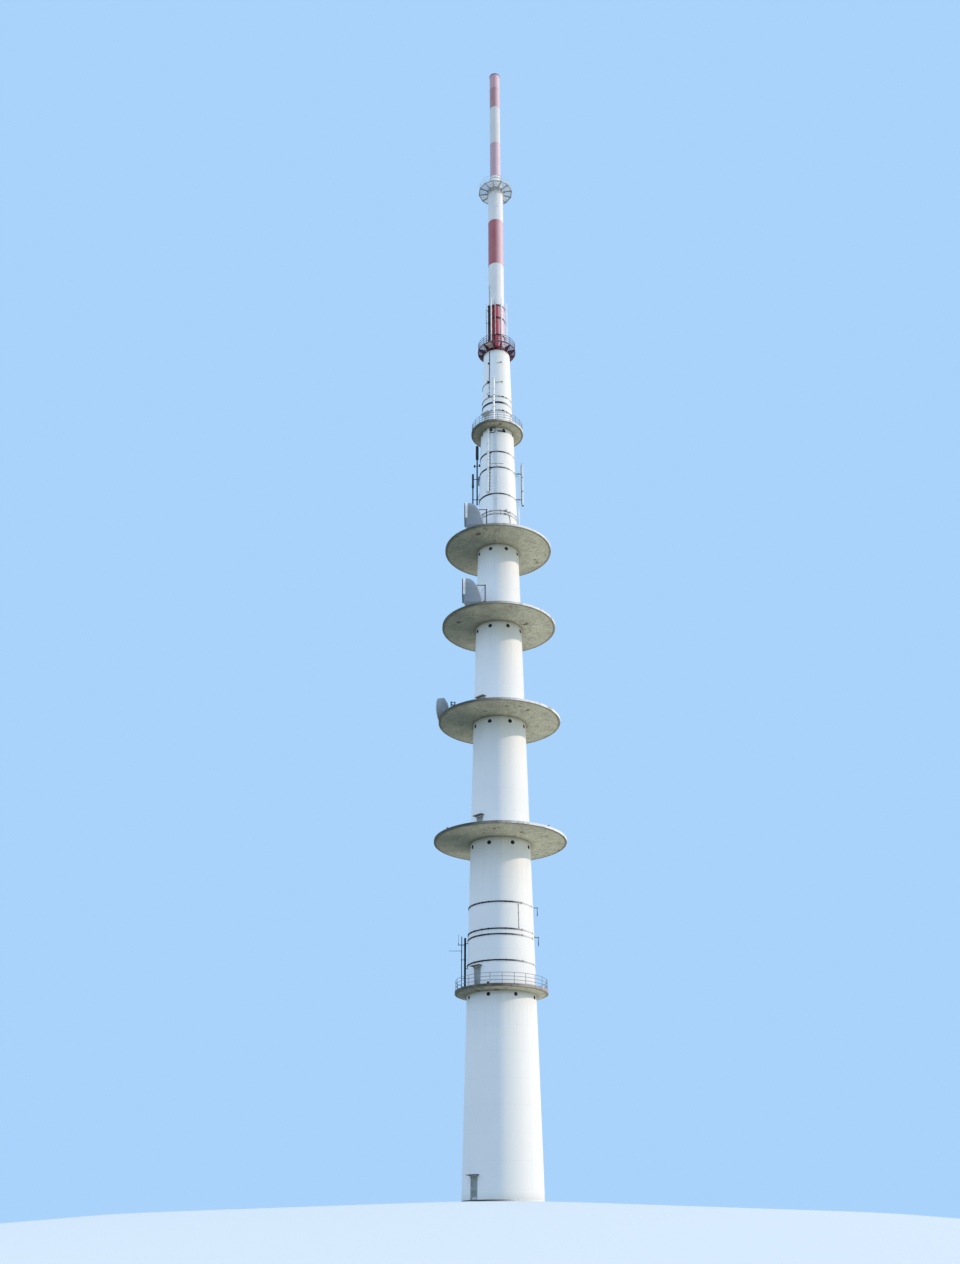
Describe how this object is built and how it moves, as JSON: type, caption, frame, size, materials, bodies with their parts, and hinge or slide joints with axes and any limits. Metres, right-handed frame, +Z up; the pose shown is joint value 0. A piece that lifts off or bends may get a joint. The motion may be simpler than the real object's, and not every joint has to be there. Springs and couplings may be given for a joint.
{
  "type": "telecommunications tower, scale model 1:10",
  "caption": "Slender tapering round tower shaft with wide disc platforms, narrow railed galleries, dishes and a red and white banded cylinder mast on top.",
  "frame": {"origin": "centre of the underside of the ground slab, on the tower's axis", "axes": "+Z up along the tower's axis; the doors face -Y; +X is to the right when facing the doors"},
  "size_m": [1.4484, 1.4484, 15.762],
  "materials": {
    "concrete_grey": "rough cast concrete",
    "concrete_white": "white paint on concrete",
    "steel_red": "satin",
    "steel_white": "satin",
    "shell_red": "satin glass-fibre",
    "shell_white": "satin glass-fibre",
    "dish_white": "satin",
    "galvanised": "dull zinc",
    "door_grey": "satin",
    "dark_metal": "matt"
  },
  "bodies": {
    "root": {"ground_slab": "concrete_grey", "shaft_foot": "concrete_white", "shaft_first": "concrete_white", "shaft_second": "concrete_white", "shaft_third": "concrete_white", "shaft_fourth": "concrete_white", "shaft_fifth": "concrete_white", "shaft_top": "concrete_white", "lower_gallery": "concrete_grey", "platform_1": "concrete_grey", "platform_2": "concrete_grey", "platform_3": "concrete_grey", "platform_4": "concrete_grey", "upper_gallery": "concrete_grey", "doors": "door_grey", "door_canopies": "steel_white", "lower_gallery_railing": "galvanised", "upper_gallery_railing": "galvanised", "steel_gallery_floor": "steel_red", "steel_gallery_brackets": "steel_red", "steel_gallery_railing": "steel_red", "mast_core": "steel_red", "cage_tubes": "steel_white", "radome_lower_white": "shell_white", "radome_red": "shell_red", "radome_upper_white": "shell_white", "ring_gallery_frame": "galvanised", "ring_gallery_grating": "galvanised", "ring_gallery_railing": "galvanised", "mast_cone": "steel_white", "slim_lower_red": "shell_red", "slim_white": "shell_white", "slim_upper_red": "shell_red", "mast_cap": "dark_metal", "dish_platform_2": "dish_white", "shell_platform_3": "dish_white", "shell_platform_4": "dish_white", "dish_posts": "dark_metal", "left_side_antennas": "dark_metal", "right_side_antennas": "steel_white", "low_antennas": "dark_metal", "shaft_bands": "dark_metal", "cable_ducts": "steel_white", "feeder_lines": "steel_white", "ladder": "galvanised", "rim_lamps": "dark_metal"}
  },
  "joints": []
}
